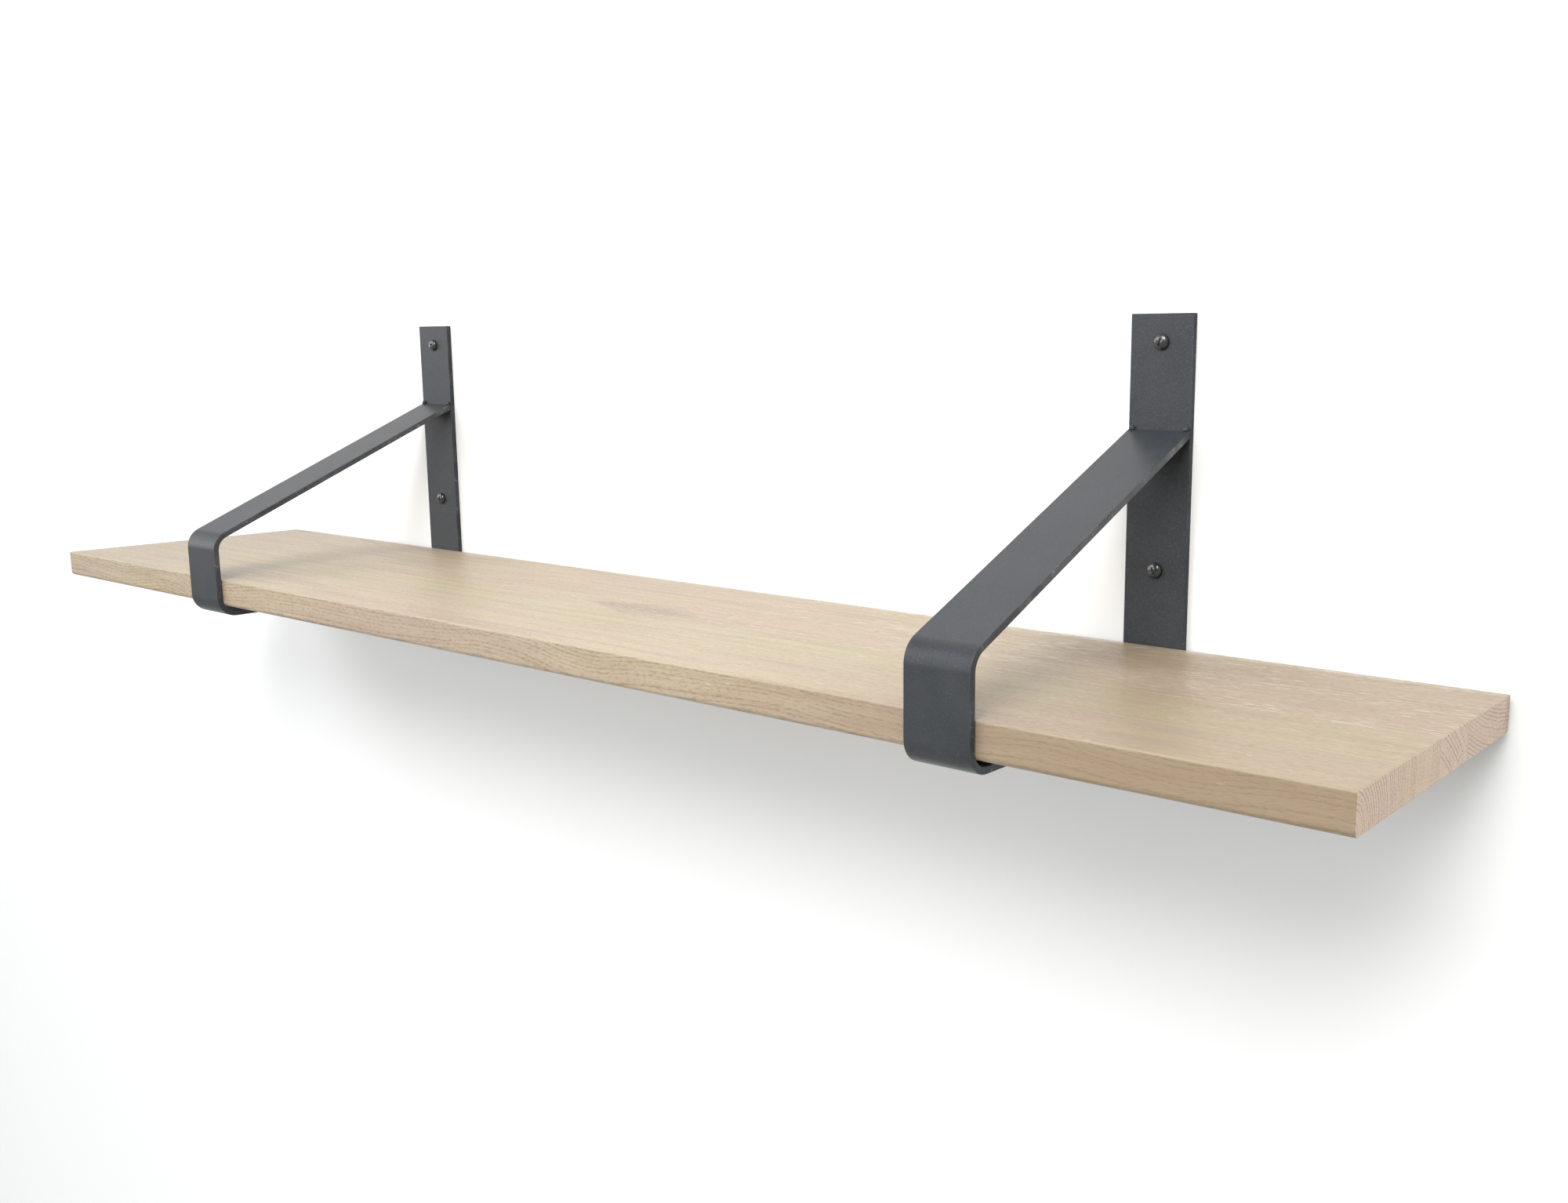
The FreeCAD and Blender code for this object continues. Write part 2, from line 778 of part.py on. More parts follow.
doc.recompute()
for item in doc.Objects:
    faults = [state for state in item.State if state in ("Invalid", "Error")]
    if faults:
        raise RuntimeError(f"{item.Label} is {faults}")
    if item.TypeId == "Sketcher::SketchObject" and not item.FullyConstrained:
        raise RuntimeError(f"{item.Label} isn't fully constrained")
for piece in pieces:
    if piece.Shape.isNull() or not piece.Shape.isValid():
        raise RuntimeError(f"{piece.Label} has no valid shape")
    if len(piece.Shape.Solids) != 1:
        raise RuntimeError(f"{piece.Label} is {len(piece.Shape.Solids)} solids")

os.makedirs("parts", exist_ok=True)
for piece in pieces:
    piece.Shape.exportStep(f"parts/{piece.Label}.step")
    print(f"{piece.Label:32s} {piece.Shape.Volume:12.1f} mm3")
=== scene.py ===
"""Looks of an oak wall shelf in two closed loops of anthracite strip steel.

Lengths are in metres, except in the materials, which work in millimetres.
"""

import math

import bmesh
import bpy
from mathutils import Matrix, Vector, noise


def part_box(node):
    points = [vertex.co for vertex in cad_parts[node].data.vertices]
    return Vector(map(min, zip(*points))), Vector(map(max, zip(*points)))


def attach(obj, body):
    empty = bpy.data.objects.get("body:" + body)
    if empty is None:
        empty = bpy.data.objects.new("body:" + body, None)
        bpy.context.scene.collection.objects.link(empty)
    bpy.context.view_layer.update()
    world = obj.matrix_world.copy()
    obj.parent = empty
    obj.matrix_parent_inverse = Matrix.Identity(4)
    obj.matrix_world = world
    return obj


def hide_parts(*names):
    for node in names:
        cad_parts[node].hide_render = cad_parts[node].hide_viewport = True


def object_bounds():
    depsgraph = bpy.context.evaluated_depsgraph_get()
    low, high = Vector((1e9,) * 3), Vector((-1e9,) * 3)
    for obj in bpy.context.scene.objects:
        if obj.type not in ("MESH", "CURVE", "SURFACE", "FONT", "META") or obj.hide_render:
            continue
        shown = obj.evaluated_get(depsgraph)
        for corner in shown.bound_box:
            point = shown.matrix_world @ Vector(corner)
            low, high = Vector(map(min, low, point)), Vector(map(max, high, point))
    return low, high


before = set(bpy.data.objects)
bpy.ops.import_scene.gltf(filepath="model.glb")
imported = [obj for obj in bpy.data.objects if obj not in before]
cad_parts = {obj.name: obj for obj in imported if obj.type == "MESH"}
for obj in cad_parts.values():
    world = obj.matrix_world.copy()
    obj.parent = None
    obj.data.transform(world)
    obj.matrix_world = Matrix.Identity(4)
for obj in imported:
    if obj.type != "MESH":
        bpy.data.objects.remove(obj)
cad_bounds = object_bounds()

MM = 0.001
SIDES = ("left", "right")
STRIP_LOW, STRIP_HIGH = (corner.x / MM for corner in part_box("right_bracket_strap"))
BRACKET_X = (STRIP_LOW + STRIP_HIGH) / 2
HALF_STRIP = STRIP_HIGH - BRACKET_X


# ---------------------------------------------------------------- node graphs

class Value:
    """A value in a node graph. Arithmetic on it adds the Math nodes it needs."""

    def __init__(self, tree, socket):
        self.tree = tree
        self.socket = socket

    def math(self, operation, *others):
        node = self.tree.nodes.new("ShaderNodeMath")
        node.operation = operation
        for slot, value in zip(node.inputs, (self,) + others):
            feed(slot, value)
        return Value(self.tree, node.outputs[0])

    def __add__(self, other):
        return self.math("ADD", other)

    def __sub__(self, other):
        return self.math("SUBTRACT", other)

    def __mul__(self, other):
        return self.math("MULTIPLY", other)

    def __truediv__(self, other):
        return self.math("DIVIDE", other)

    def absolute(self):
        return self.math("ABSOLUTE")

    def squared(self):
        return self.math("POWER", 2.0)

    def less_from(self, whole):
        """whole - self"""
        return self * -1.0 + whole

    def step(self, low, high):
        """0 at low, 1 at high, smooth between them. low may be the higher number."""
        node = self.tree.nodes.new("ShaderNodeMapRange")
        node.interpolation_type = "SMOOTHSTEP"
        flip = low > high
        feed(node.inputs["Value"], self)
        node.inputs["From Min"].default_value = min(low, high)
        node.inputs["From Max"].default_value = max(low, high)
        node.inputs["To Min"].default_value = 1.0 if flip else 0.0
        node.inputs["To Max"].default_value = 0.0 if flip else 1.0
        return Value(self.tree, node.outputs["Result"])


def feed(slot, value):
    """Links a Value to a socket, or sets the socket to a number, colour or vector."""
    if isinstance(value, Value):
        value.tree.links.new(value.socket, slot)
    elif slot.type == "RGBA":
        slot.default_value = (*value, 1.0)
    else:
        slot.default_value = value


class Graph:
    """A material with a Principled shader, and the nodes that drive it."""

    def __init__(self, name):
        self.material = bpy.data.materials.new(name)
        self.material.use_nodes = True
        self.tree = self.material.node_tree
        self.shader = self.tree.nodes["Principled BSDF"]

    def new(self, kind, output=0, **inputs):
        node = self.tree.nodes.new(kind)
        for name, value in inputs.items():
            feed(node.inputs[name.replace("_", " ")], value)
        return Value(self.tree, node.outputs[output])

    def split(self, vector):
        """A vector's x, y and z."""
        node = self.tree.nodes.new("ShaderNodeSeparateXYZ")
        feed(node.inputs[0], vector)
        return [Value(self.tree, socket) for socket in node.outputs]

    def position(self):
        """x, y and z in millimetres, in the row frame."""
        return [axis / MM for axis in self.split(self.new("ShaderNodeTexCoord", "Object"))]

    def normal(self):
        """x, y and z of the surface's normal, in the row frame."""
        return self.split(self.new("ShaderNodeTexCoord", "Normal"))

    def noise(self, place, sizes, seed=0.0, detail=2.0, rough=0.5):
        """Smooth noise from 0 to 1. sizes is its features' size, along all three axes or each of them."""
        if not isinstance(sizes, tuple):
            sizes = (sizes,) * 3
        x, y, z = (axis / size for axis, size in zip(place, sizes))
        moved = self.new("ShaderNodeCombineXYZ", X=x + seed, Y=y + seed * 1.7, Z=z - seed * 0.6)
        node = self.tree.nodes.new("ShaderNodeTexNoise")
        node.noise_dimensions = "3D"
        feed(node.inputs["Vector"], moved)
        node.inputs["Scale"].default_value = 1.0
        node.inputs["Detail"].default_value = detail
        node.inputs["Roughness"].default_value = rough
        return Value(self.tree, node.outputs[0])

    def sway(self, reach, place, sizes, **noise_options):
        """Noise from -reach to reach."""
        return (self.noise(place, sizes, **noise_options) - 0.5) * (2 * reach)

    def mix(self, amount, first, second, blend="MIX"):
        node = self.tree.nodes.new("ShaderNodeMix")
        node.data_type = "RGBA"
        node.blend_type = blend
        factor, from_colour, to_colour = node.inputs[0], node.inputs[6], node.inputs[7]
        feed(factor, amount)
        feed(from_colour, first)
        feed(to_colour, second)
        return Value(self.tree, node.outputs[2])

    def bump(self, height, depth_mm, strength):
        node = self.tree.nodes.new("ShaderNodeBump")
        node.inputs["Strength"].default_value = strength
        node.inputs["Distance"].default_value = depth_mm * MM
        feed(node.inputs["Height"], height)
        feed(self.shader.inputs["Normal"], Value(self.tree, node.outputs[0]))

    def finish(self, **values):
        for name, value in values.items():
            feed(self.shader.inputs[name.replace("_", " ")], value)
        return self.material


# ---------------------------------------------------------------- oak

WARM_OAK, COOL_OAK = (0.405, 0.335, 0.232), (0.392, 0.312, 0.238)
DARK_OAK, LIGHT_OAK = (0.215, 0.158, 0.105), (0.480, 0.415, 0.325)
FLECK_OAK, END_OAK = (0.630, 0.570, 0.485), (0.625, 0.484, 0.382)
BROWN_OAK, GREY_OAK = (0.240, 0.176, 0.112), (0.180, 0.155, 0.122)
DARK_LINE, LIGHT_LINE = (0.26, 0.20, 0.14), (0.60, 0.53, 0.42)

# Two marks on the board: their middle and their reach from it, in x and y.
APEX = dict(middle=(10.0, -104.0), reach=(58.0, 22.0))
STAIN = dict(middle=(385.0, -42.0), reach=(80.0, 25.0))
APEX_TIP_X, APEX_SLOPE, APEX_LINES = -34.0, 2.6, 11.0

# Where along x three changes begin and are complete. The second is painted shade, darkening the long
# faces towards the right end.
FLECKS_APPEAR, SHADE_TOWARDS_RIGHT, GREYS = (-100.0, 320.0), (120.0, 460.0), (-390.0, -560.0)


def growth(g, place, middle, pith, wander, run, ring, seed):
    """Distance from the log's heart, the angle round it, and where each ring's early wood is.

    pith is the heart's place in y and z from the stave's middle, wander how far it strays in
    each, run the length of stave that it takes to do so, and ring the rings' spacing.
    """
    _, y, z = place
    stray = [g.sway(wander[n], place, (run, 300, 300), seed=seed + n, detail=1.0) for n in (0, 1)]
    across = y - (middle.y + pith[0]) + stray[0]
    upward = z - (middle.z + pith[1]) + stray[1]
    angle = upward.math("ARCTAN2", across)
    radius = (across * across + upward * upward).math("SQRT")
    radius = radius + g.sway(1.1, place, (75, 16, 16), seed=seed + 3)

    rings = radius / ring
    within = rings.math("FRACT")
    which_ring = (rings.math("FLOOR"), rings * 0.0, rings * 0.0)
    own = g.noise(which_ring, (1.4, 1, 1), seed=seed + 5, detail=0.0)
    early = within.step(0.0, 0.12) * within.step(0.60, 0.20) * own.step(0.20, 0.60)
    return radius, angle, early


def ellipse(x, y, middle, reach):
    """0 in an ellipse's middle and 1 on its outline."""
    return ((x - middle[0]) / reach[0]).squared() + ((y - middle[1]) / reach[1]).squared()


def apex_mark(g, place, top, seed):
    """The shape of the dark mark where a ring's curve closes, and the lines nested in it."""
    x, y, z = place
    behind = x - APEX_TIP_X - (y - APEX["middle"][1]).absolute() * APEX_SLOPE
    behind = behind + g.noise(place, (20, 6, 6), seed) * 9.0
    on_top = (z - top).step(-3.0, -1.0)
    shape = behind.step(0.0, 6.0) * ellipse(x, y, **APEX).step(1.2, 0.2) * on_top
    return shape, (behind / APEX_LINES).math("FRACT").step(0.45, 0.05)


def stain_mark(g, place, seed):
    """The shape of a ragged brown stain."""
    x, y, _ = place
    ragged = g.sway(1.6, place, (26, 7, 7), seed=seed, detail=3.0, rough=0.6)
    return (ellipse(x, y, **STAIN) + ragged).step(1.3, 0.2)


def glue_line(g, place, at, seed):
    """A thin line along the joint at y = at, which comes and goes."""
    away = (place[1] - at + g.sway(0.75, place, (120, 50, 50), seed=seed + at)).absolute()
    return away.step(1.0, 0.25) * g.noise(place, 60, seed=seed + at).step(0.38, 0.60)


def oak(node, log, tint, seed, fleck, joint):
    """Oak whose rings, pores and rays follow from its place in the log, on every face alike.

    log is what growth() needs, tint multiplies the colour, fleck is the noise above which light
    flecks show, and joint is the glue line's side (0 front, 1 rear), its strength and its colour.
    """
    low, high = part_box(node)
    g = Graph("oak_" + node)
    place = x, y, z = g.position()
    radius, angle, early = growth(g, place, (low + high) / 2 / MM, seed=seed, **log)
    apex, nested = apex_mark(g, place, high.z / MM, seed)

    end_face = g.normal()[0].absolute().step(0.55, 0.8)
    front_face = g.normal()[1].absolute().step(0.5, 0.8)
    long_faces = end_face.less_from(1.0)
    figure = front_face * 0.75 + end_face * 0.9 + 0.16

    vessels = g.noise(place, (3.6, 0.75, 0.75), seed=seed + 7, detail=1.0)
    pores = (vessels + early * 0.10).step(0.55, 0.66)
    sheets = (angle * radius, x, radius)
    rays = g.noise(sheets, (0.6, 7, 6), seed=seed + 11, detail=1.0).step(0.64, 0.76)
    patch = g.noise(place, (80, 24, 24), seed=seed + 31, detail=1.0).step(0.40, 0.54)
    leaning = (x + y * 0.45, y - x * 0.10, z)
    flecks = g.noise(leaning, (11, 1.5, 1.5), seed=seed + 13, detail=1.0)
    flecks = flecks.step(fleck, fleck + 0.05) * patch
    fibre = g.noise(place, (5, 0.3, 0.3), seed=seed + 17, rough=0.6)
    streak = g.noise(place, (95, 7, 7), seed=seed + 19, detail=3.0, rough=0.60)
    cloud = g.noise(place, (150, 24, 24), seed=seed + 23)
    saw = g.noise(place, (9, 9, 0.5), seed=seed + 29, detail=1.0) * 0.5
    saw = saw + g.noise(place, (40, 0.8, 40), seed=seed, detail=1.0) * 0.5

    colour = g.mix(cloud.step(0.34, 0.66), WARM_OAK, COOL_OAK)
    colour = g.mix(streak.step(0.44, 0.66) * 0.34, colour, LIGHT_OAK)
    colour = g.mix(streak.step(0.50, 0.32) * 0.17, colour, DARK_OAK)
    colour = g.mix(end_face, colour, END_OAK)
    colour = g.mix(early * figure * 0.24, colour, DARK_OAK)
    colour = g.mix((fibre - 0.5).absolute() * 0.35, colour, DARK_OAK)
    colour = g.mix(pores * (early * 0.30 + 0.34) * figure, colour, DARK_OAK)
    colour = g.mix(rays * 0.34, colour, LIGHT_OAK)
    colour = g.mix(flecks * x.step(*FLECKS_APPEAR) * 0.75, colour, FLECK_OAK)
    colour = g.mix(stain_mark(g, place, seed) * 0.42, colour, BROWN_OAK)
    colour = g.mix(apex * (nested * 0.42 + 0.24), colour, GREY_OAK)
    side, strength, shade = joint
    joint_at = (low, high)[side].y / MM
    colour = g.mix(glue_line(g, place, joint_at, seed) * strength, colour, shade)
    colour = g.mix(end_face * saw.step(0.35, 0.70) * 0.16, colour, BROWN_OAK)
    # Painted shade: the long faces, the front most, darken towards the board's right end, where the light
    # falls off.
    colour = g.mix(x.step(*SHADE_TOWARDS_RIGHT) * long_faces * (front_face * 0.30 + 0.38), colour, BROWN_OAK)
    colour = g.mix(x.step(*GREYS) * (long_faces - front_face) * 0.20, colour, GREY_OAK)
    colour = g.mix(1.0, colour, tint, "MULTIPLY")
    # Painted highlight: a lighter line along the board's top front edge, where the rounded arris catches
    # the light.
    front_arris_highlight = (y - low.y / MM).step(1.3, 0.0) * (z - high.z / MM).step(-1.6, -0.2)
    colour = g.mix(front_arris_highlight * 0.25, colour, LIGHT_OAK)

    rough = pores * 0.14 + fibre * 0.12 + end_face * 0.10 - flecks * 0.08 + 0.36
    relief = pores * -0.75 - early * 0.25 + fibre * 0.35 + end_face * saw * 0.5
    g.bump(relief, depth_mm=0.09, strength=0.55)
    return g.finish(Base_Color=colour, Roughness=rough, IOR=1.42)


# ---------------------------------------------------------------- coating, screws and paint

def coating():
    """Matt anthracite powder coat: faint orange peel and speckle, rubbed thin along the edges, where the
    lighter edge colour is also a painted highlight.
    """
    deep, pale = (0.029, 0.033, 0.038), (0.039, 0.043, 0.049)
    pale_grain, dark_grain = (0.070, 0.076, 0.080), (0.012, 0.015, 0.017)
    rubbed_and_highlit, scratched, chipped = (0.085, 0.090, 0.092), (0.130, 0.130, 0.128), (0.210, 0.205, 0.200)

    g = Graph("anthracite_coating")
    place = g.position()
    speckle = g.noise(place, 0.8, seed=1.0, rough=0.6)
    peel = g.noise(place, 1.5, seed=2.0)
    patch = g.noise(place, 34, seed=3.0, detail=3.0, rough=0.6)
    wear_and_highlight_patches = g.noise(place, (5, 22, 22), seed=4.0, detail=3.0, rough=0.65)
    from_middle = (place[0].absolute() - BRACKET_X).absolute()
    # Lighter strap edges: partly coating rubbed thin, partly a painted highlight along the edges.
    edge = from_middle.step(HALF_STRIP - 0.9, HALF_STRIP - 0.15) * wear_and_highlight_patches.step(0.42, 0.62)
    chips = edge * g.noise(place, (1.6, 2.6, 2.6), seed=5.0).step(0.60, 0.68)
    scratch = g.noise(place, (0.35, 9, 26), seed=6.0, detail=1.0).step(0.71, 0.78)
    scratch = scratch * wear_and_highlight_patches.step(0.50, 0.66)

    colour = g.mix(patch.step(0.25, 0.75), deep, pale)
    colour = g.mix(speckle.step(0.54, 0.70) * 0.60, colour, pale_grain)
    colour = g.mix(speckle.step(0.42, 0.28) * 0.40, colour, dark_grain)
    # Edges painted lighter: wear, and a painted highlight.
    colour = g.mix(edge * 0.40, colour, rubbed_and_highlit)
    colour = g.mix(scratch * 0.30, colour, scratched)
    colour = g.mix(chips * 0.55, colour, chipped)
    rough = patch * 0.14 + speckle * 0.10 - edge * 0.08 - scratch * 0.10 + 0.27
    relief = peel * 0.6 + speckle * 0.3 - chips * 0.5 - scratch * 0.2
    g.bump(relief, depth_mm=0.05, strength=0.45)
    return g.finish(Base_Color=colour, Roughness=rough, IOR=1.37)


def black_screw():
    """Glossy black zinc, thinner and paler where tools and threads have rubbed it, and painted lighter
    there as glints.
    """
    deep, pale, bare_and_glint = (0.010, 0.011, 0.013), (0.022, 0.023, 0.025), (0.260, 0.260, 0.270)

    g = Graph("black_zinc")
    place = g.position()
    film = g.noise(place, 2.2, seed=8.0, detail=3.0, rough=0.6)
    grit = g.noise(place, 0.25, seed=9.0, detail=1.0)
    # The marked edges and crests get wear, and painted glints too.
    worn_and_glint = g.new("ShaderNodeAttribute", "Fac")
    worn_and_glint.socket.node.attribute_name = "worn_and_glint"
    rubbed_and_highlit = worn_and_glint * film.step(0.40, 0.60)

    colour = g.mix(film.step(0.3, 0.7), deep, pale)
    # Pale, partly metallic colour on rubbed edges and crests: wear, and painted glints.
    colour = g.mix(rubbed_and_highlit * 0.6, colour, bare_and_glint)
    rough = film * 0.14 + grit * 0.08 - rubbed_and_highlit * 0.04 + 0.10
    g.bump(film * 0.5 + grit * 0.2, depth_mm=0.04, strength=0.5)
    return g.finish(Base_Color=colour, Roughness=rough, Metallic=rubbed_and_highlit * 0.6, IOR=1.8)


def plaster(name, colour):
    """Plain pale paint for the stage, with a faint roller texture."""
    g = Graph(name)
    place = g.position()
    roller = g.noise(place, 2.5, detail=3.0)
    wash = g.noise(place, 400, seed=1.0)
    paint = g.mix(wash.step(0.2, 0.8), colour, tuple(c * 0.985 for c in colour))
    g.bump(roller, depth_mm=0.12, strength=0.25)
    return g.finish(Base_Color=paint, Roughness=roller * 0.1 + 0.8)


# ---------------------------------------------------------------- meshes

def add_piece(name, mesh_data, material, slot, *stands_for):
    """Links a bmesh as a piece of the shelf that takes the place of CAD nodes."""
    data = bpy.data.meshes.new(name)
    mesh_data.to_mesh(data)
    mesh_data.free()
    data.materials.append(material)
    piece = bpy.data.objects.new(name, data)
    bpy.context.scene.collection.objects.link(piece)
    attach(piece, "root")
    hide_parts(*stands_for)
    return piece


def crease(mesh_data, degrees):
    """Smooth shading, with hard edges where two faces meet at more than the angle."""
    for face in mesh_data.faces:
        face.smooth = True
    for edge in mesh_data.edges:
        edge.smooth = edge.calc_face_angle(0.0) < math.radians(degrees)


def skin(mesh_data, rings):
    """Joins rings of the same number of vertices into a tube, and closes both ends."""
    count = len(rings[0])
    for ring, following in zip(rings, rings[1:]):
        for n in range(count):
            after = (n + 1) % count
            mesh_data.faces.new((ring[n], ring[after], following[after], following[n]))
    mesh_data.faces.new(rings[0][::-1])
    mesh_data.faces.new(rings[-1])
    bmesh.ops.recalc_face_normals(mesh_data, faces=mesh_data.faces)


# ---------------------------------------------------------------- straps

JOIN_WITHIN = 0.002 * MM
FLAT_WITHIN_DEGREES, SHARP_DEGREES = 0.4, 40
STRAP_EASE = 0.45 * MM


def eased_copy(node):
    """A copy of a CAD node's mesh, joined up and with its sharp edges eased."""
    copy = bmesh.new()
    copy.from_mesh(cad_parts[node].data)
    bmesh.ops.remove_doubles(copy, verts=copy.verts, dist=JOIN_WITHIN)
    bmesh.ops.dissolve_limit(
        copy, angle_limit=math.radians(FLAT_WITHIN_DEGREES), verts=copy.verts, edges=copy.edges,
    )
    sharp = [edge for edge in copy.edges if edge.calc_face_angle(0.0) > math.radians(SHARP_DEGREES)]
    bmesh.ops.bevel(
        copy, geom=sharp, offset=STRAP_EASE, offset_type="OFFSET", segments=3,
        profile=0.5, affect="EDGES", clamp_overlap=True,
    )
    crease(copy, 60)
    return copy


def keep_flats_flat(piece):
    """Shades big flat faces as flat, beside small rounded ones."""
    modifier = piece.modifiers.new("flat_faces", "WEIGHTED_NORMAL")
    modifier.keep_sharp = True


# ---------------------------------------------------------------- screws

COLUMNS, DOME_ROWS, ROWS_A_TURN = 40, 12, 14
RIM_EASE, NECK_EASE, RUN_OUT = 0.12 * MM, 0.2 * MM, 0.3 * MM
DOME_POWER, DOME_CENTRE = 0.92, 0.02 * MM
TIP_POWER, BLUNT_TIP, RIDGE_HALF_WIDTH = 0.8, 0.04, 0.27

# The recess from its mouth to its tip: height over the head, in depths, and scale.
RECESS_LEVELS = ((0.5, 1.25), (0.0, 1.0), (-0.75, 0.55), (-1.0, 0.12))


def in_metres(**sizes_mm):
    return {name: size * MM for name, size in sizes_mm.items()}


WALL_SCREW = dict(
    axis=(0, 1, 0),
    head=in_metres(height=3.4, rim=0.9),
    neck=in_metres(radius=1.8, length=4.0),
    thread=in_metres(radius=2.5, depth=0.75, pitch=2.2, tip=6.0),
    recess=in_metres(span=5.0, slot=1.1, depth=1.9),
)
BOARD_SCREW = dict(
    axis=(0, 0, 1),
    head=in_metres(height=2.7, rim=0.7),
    neck=in_metres(radius=1.4, length=4.0),
    thread=in_metres(radius=2.0, depth=0.6, pitch=1.8, tip=4.0),
    recess=in_metres(span=4.2, slot=0.9, depth=1.5),
)

# How far the first screw is turned, and how much further each next one is, in degrees.
FIRST_SPIN, SPIN_STEP = 20, 37


def clamp(value, low=0.0):
    return min(1.0, max(low, value))


def round_at(radius):
    return lambda angle: radius


def thread_at(depth, start, end, thread):
    """The outline of a threaded shank at a depth under the head, as radius against angle."""
    core = thread["radius"] - thread["depth"]
    tip_left = (end - depth) / thread["tip"]
    full = clamp((depth - start) / thread["pitch"]) * clamp(tip_left)
    taper = clamp(tip_left, BLUNT_TIP) ** TIP_POWER

    def radius(angle):
        part = (depth / thread["pitch"] - angle / (2 * math.pi)) % 1.0
        ridge = max(0.0, 1.0 - abs(part - 0.5) / RIDGE_HALF_WIDTH)
        return core * taper + thread["depth"] * ridge * (0.25 + 0.75 * full) * min(1.0, full * 3)

    return radius


def head_rows(across, height, rim):
    """A pan head's outline: a dome, a short straight rim and an eased lower edge."""
    rows = []
    for n in range(DOME_ROWS + 1):
        turn = math.pi / 2 * (DOME_ROWS - n) / DOME_ROWS
        dome = max(DOME_CENTRE, across * math.cos(turn) ** DOME_POWER)
        rows.append((rim + (height - rim) * math.sin(turn), round_at(dome)))
    rows.append((RIM_EASE, round_at(across)))
    rows.append((0.0, round_at(across - RIM_EASE)))
    return rows


def shank_rows(length, neck, thread):
    """The outline of a plain neck and then a thread, down to the point."""
    start = neck["length"]
    rows = [
        (0.0, round_at(neck["radius"] + NECK_EASE)),
        (-NECK_EASE, round_at(neck["radius"])),
        (-start + RUN_OUT, round_at(neck["radius"])),
    ]
    steps = round((length - start) / (thread["pitch"] / ROWS_A_TURN))
    for n in range(steps + 1):
        depth = start + (length - start) * n / steps
        rows.append((-depth, thread_at(depth, start, length, thread)))
    return rows


def lathe(rows):
    """A closed solid round z. Each row is a height, and the radius at an angle."""
    solid = bmesh.new()
    angles = [2 * math.pi * n / COLUMNS for n in range(COLUMNS)]
    skin(solid, [
        [solid.verts.new((radius(a) * math.cos(a), radius(a) * math.sin(a), height)) for a in angles]
        for height, radius in rows
    ])
    return solid


def recess_cutter(top, span, slot, depth):
    """A tapered cross whose mouth is above the head and whose tip is inside it."""
    cutter = bmesh.new()
    rings = []
    for level, scale in RECESS_LEVELS:
        half_slot = slot / 2 * (0.5 + 0.5 * scale)
        half_span = max(span / 2 * scale, half_slot * 1.2)
        arm = [(half_span, -half_slot), (half_span, half_slot), (half_slot, half_slot)]
        turns = [Matrix.Rotation(n * math.pi / 2, 2) for n in range(4)]
        outline = [turn @ Vector(corner) for turn in turns for corner in arm]
        rings.append([cutter.verts.new((p.x, p.y, top + depth * level)) for p in outline])
    skin(cutter, rings)
    return cutter


def cut(body, cutter):
    """body less cutter, as a new bmesh."""
    objects = []
    for part in (body, cutter):
        data = bpy.data.meshes.new("cutting")
        part.to_mesh(data)
        part.free()
        objects.append(bpy.data.objects.new("cutting", data))
        bpy.context.scene.collection.objects.link(objects[-1])
    modifier = objects[0].modifiers.new("cut", "BOOLEAN")
    modifier.operation = "DIFFERENCE"
    modifier.solver = "EXACT"
    modifier.object = objects[1]
    bpy.context.view_layer.update()
    evaluated = objects[0].evaluated_get(bpy.context.evaluated_depsgraph_get())
    result = bmesh.new()
    result.from_mesh(evaluated.to_mesh())
    evaluated.to_mesh_clear()
    for each in objects:
        data = each.data
        bpy.data.objects.remove(each)
        bpy.data.meshes.remove(data)
    return result


def mark_wear_and_glints(shape, rim, thread):
    """Marks the head's hard edges and the thread's crests, where the black finish rubs off and where
    glints are painted.
    """
    worn_and_glint = shape.verts.layers.float.new("worn_and_glint")
    crest = thread["radius"] - thread["depth"] * 0.3
    for vert in shape.verts:
        on_edge = vert.co.z > 0.5 * rim and any(not edge.smooth for edge in vert.link_edges)
        on_crest = vert.co.z < 0 and vert.co.xy.length > crest
        vert[worn_and_glint] = 1.0 if on_edge or on_crest else 0.0


def make_screw(node, spin, axis, head, neck, thread, recess):
    """A pan-head screw with a tapered cross recess and a helical thread, in a CAD screw's place.

    It is made with its underside at z = 0 and its point towards -z, then turned on to axis.
    """
    low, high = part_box(node)
    size = high - low
    long = max(range(3), key=lambda n: size[n])
    across = min(size[n] for n in range(3) if n != long) / 2
    body = lathe(head_rows(across, **head) + shank_rows(size[long] - head["height"], neck, thread))
    shape = cut(body, recess_cutter(head["height"] - RIM_EASE, **recess))
    crease(shape, 34)
    mark_wear_and_glints(shape, head["rim"], thread)

    seat = (low + high) / 2
    seat[long] = low[long] + head["height"]
    turn = Vector((0, 0, -1)).rotation_difference(Vector(axis)).to_matrix().to_4x4()
    shape.transform(Matrix.Translation(seat) @ turn @ Matrix.Rotation(math.radians(spin), 4, "Z"))
    return shape


# ---------------------------------------------------------------- welds

BEAD_ALONG, BEAD_AROUND, BEAD_END = 150, 14, 9
RIPPLES, RIPPLE_HEIGHT = 21, 0.22 * MM
CROWN_HEIGHT, GRAIN_HEIGHT, EDGE_SINK = 0.55 * MM, 0.30 * MM, 0.1 * MM


